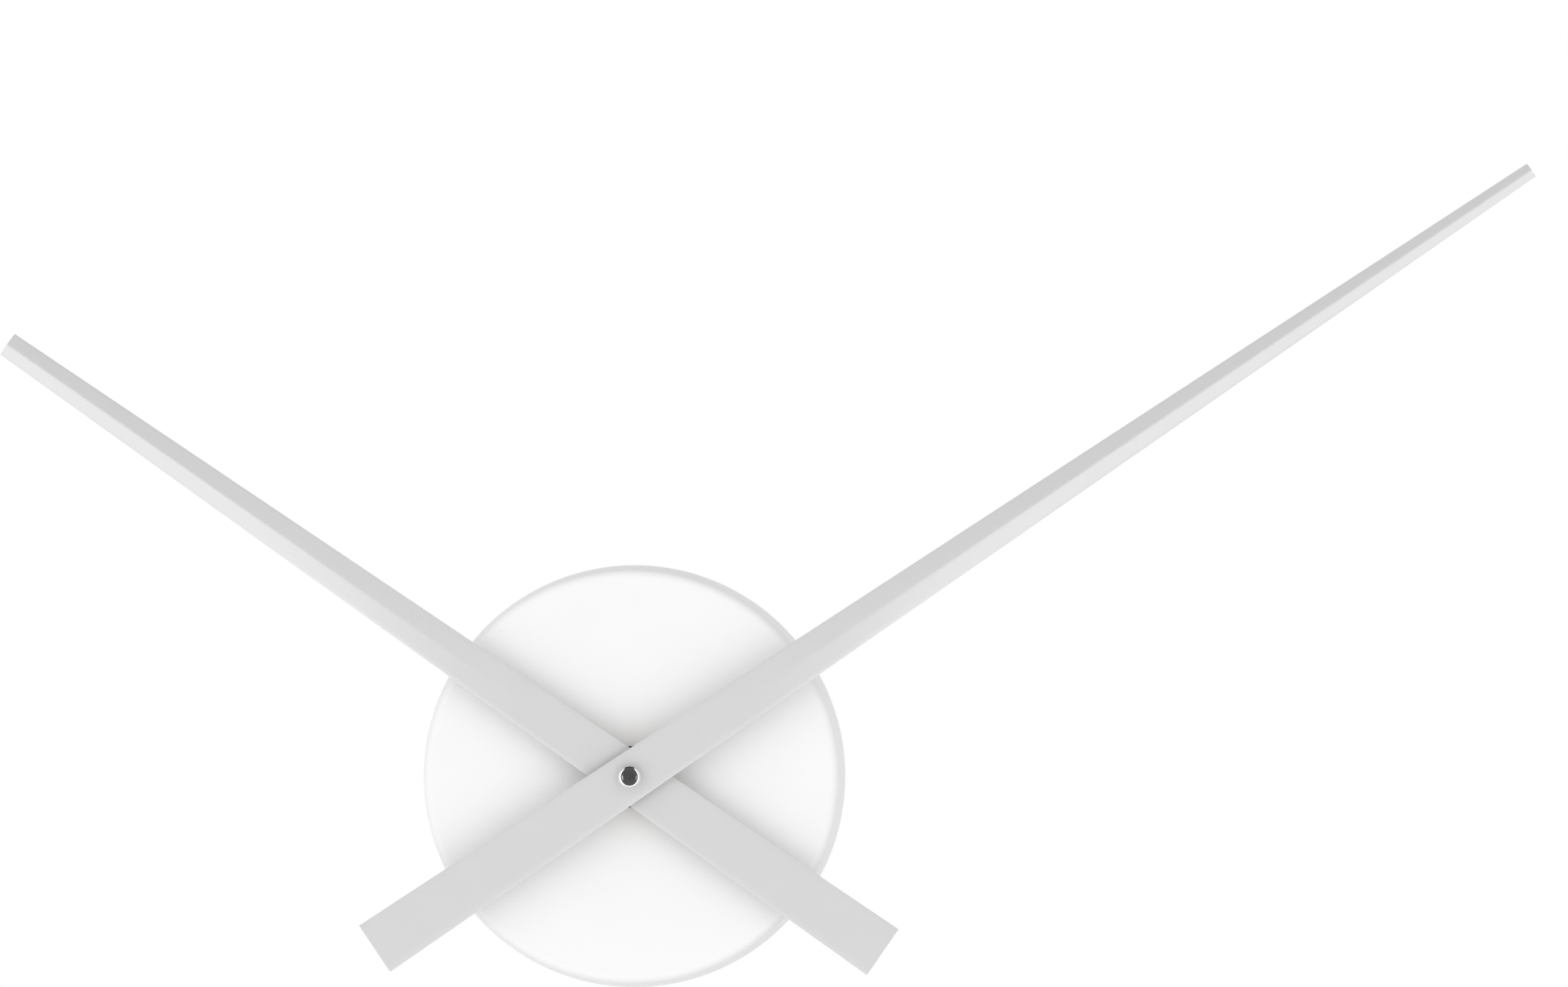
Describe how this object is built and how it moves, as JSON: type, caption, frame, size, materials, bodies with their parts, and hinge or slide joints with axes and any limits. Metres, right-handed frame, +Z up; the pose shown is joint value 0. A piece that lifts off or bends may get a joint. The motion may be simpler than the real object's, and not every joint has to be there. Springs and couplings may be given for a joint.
{
  "type": "wall clock",
  "caption": "Round white case with two long tapered folded sheet-metal hands on a central spindle, turned by a battery quartz movement held inside the open back.",
  "frame": {"origin": "on the wall plane, where the case's rear rim rests, on the axis of the hands", "axes": "+X to the right and +Z up as seen from the front; +Y runs into the wall, so the hands face -Y"},
  "size_m": [0.4304, 0.0429, 0.2315],
  "materials": {
    "case_white": "satin white moulded plastic",
    "hand_silver": "satin silver-grey lacquered sheet",
    "polished_cap": "polished",
    "brass": "turned, bright",
    "zinc_steel": "zinc plated",
    "steel": "bright",
    "soft_iron": "annealed lamination",
    "black_rubber": "matt",
    "black_plastic": "fine moulded texture",
    "white_acetal": "natural moulded acetal",
    "ivory_plastic": "moulded",
    "copper": "enamelled wire",
    "board_green": "solder mask",
    "black_resin": "glossy resin",
    "nickel_strip": "nickel plated",
    "battery_sleeve": "printed film over the can",
    "magnet_grey": "sintered magnet"
  },
  "bodies": {
    "case": {"case_shell": "case_white", "wall_hanger": "zinc_steel", "rubber_gasket": "black_rubber", "front_washer": "black_plastic", "hex_nut": "brass", "movement_front_case": "black_plastic", "movement_rear_cover": "black_plastic", "threaded_bushing": "brass", "train_bridge": "ivory_plastic", "intermediate_pin": "steel", "stator_plate": "soft_iron", "coil_core": "soft_iron", "coil_bobbin": "ivory_plastic", "coil_winding": "copper", "coil_leads": "copper", "motor_screws": "steel", "circuit_board": "board_green", "board_screws": "steel", "chip_cap": "black_resin", "quartz_crystal": "steel", "positive_contact": "nickel_strip", "negative_contact": "nickel_strip", "negative_spring": "nickel_strip", "battery_can": "battery_sleeve", "battery_positive_cap": "nickel_strip", "battery_negative_base": "nickel_strip"},
    "minute": {"minute_hand": "hand_silver", "cap_nut": "polished_cap", "minute_pipe": "brass", "centre_wheel": "white_acetal"},
    "hour": {"hour_hand": "hand_silver", "hour_hand_collet": "brass", "hour_wheel": "white_acetal"},
    "motion": {"motion_wheel": "white_acetal"},
    "knob": {"setting_knob": "ivory_plastic"},
    "third": {"third_wheel": "white_acetal"},
    "seconds": {"seconds_wheel": "white_acetal"},
    "intermediate": {"intermediate_wheel": "white_acetal"},
    "rotor": {"rotor_magnet": "magnet_grey", "rotor_pinion": "ivory_plastic"}
  },
  "joints": [
    {"name": "minute_turn", "type": "hinge", "parent": "case", "child": "minute", "pos_m": [0, -0.0384, 0], "axis": [0, 1, 0], "continuous": true},
    {"name": "hour_turn", "type": "hinge", "parent": "case", "child": "hour", "pos_m": [0, -0.035, 0], "axis": [0, 1, 0], "continuous": true},
    {"name": "motion_turn", "type": "hinge", "parent": "case", "child": "motion", "pos_m": [0.00822, -0.019, -0.00175], "axis": [0, 1, 0], "continuous": true},
    {"name": "knob_turn", "type": "hinge", "parent": "case", "child": "knob", "pos_m": [0.01465, -0.006, 0.00365], "axis": [0, 1, 0], "continuous": true},
    {"name": "third_turn", "type": "hinge", "parent": "case", "child": "third", "pos_m": [-0.00886, -0.015, 0.00156], "axis": [0, 1, 0], "continuous": true},
    {"name": "seconds_turn", "type": "hinge", "parent": "case", "child": "seconds", "pos_m": [0, -0.013, 0], "axis": [0, 1, 0], "continuous": true},
    {"name": "intermediate_turn", "type": "hinge", "parent": "case", "child": "intermediate", "pos_m": [-0.00156, -0.012, 0.00886], "axis": [0, 1, 0], "continuous": true},
    {"name": "rotor_turn", "type": "hinge", "parent": "case", "child": "rotor", "pos_m": [0.00601, -0.016, 0.01324], "axis": [0, 1, 0], "continuous": true}
  ],
  "couplings": [
    {"joint": "hour_turn", "follows": "minute_turn", "ratio": 0.083333},
    {"joint": "motion_turn", "follows": "minute_turn", "ratio": -0.33333},
    {"joint": "knob_turn", "follows": "minute_turn", "ratio": 1},
    {"joint": "third_turn", "follows": "minute_turn", "ratio": -7.5},
    {"joint": "seconds_turn", "follows": "minute_turn", "ratio": 60},
    {"joint": "intermediate_turn", "follows": "minute_turn", "ratio": -300},
    {"joint": "rotor_turn", "follows": "minute_turn", "ratio": 1800}
  ]
}
